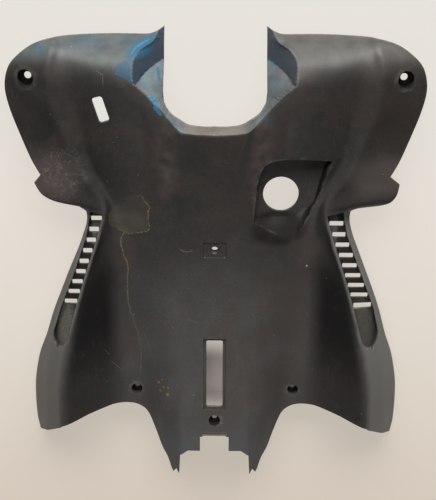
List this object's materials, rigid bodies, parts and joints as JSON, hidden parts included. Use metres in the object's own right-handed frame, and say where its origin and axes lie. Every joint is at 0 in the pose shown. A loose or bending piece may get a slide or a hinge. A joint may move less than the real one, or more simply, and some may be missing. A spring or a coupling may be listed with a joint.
{
  "type": "scooter leg shield",
  "caption": "One-piece moulded inner leg shield with a neck notch, lock pocket, louvred side strips, framed window and forked foot.",
  "frame": {"origin": "centre of the footprint on the floor, with the rider's side up", "axes": "+X across the shield, +Y from the foot to the neck, +Z away from the floor"},
  "size_m": [0.4604, 0.5429, 0.0845],
  "materials": {
    "leg_shield": "charcoal, worn and scuffed"
  },
  "bodies": {
    "root": {"leg_shield": "leg_shield"}
  },
  "joints": []
}
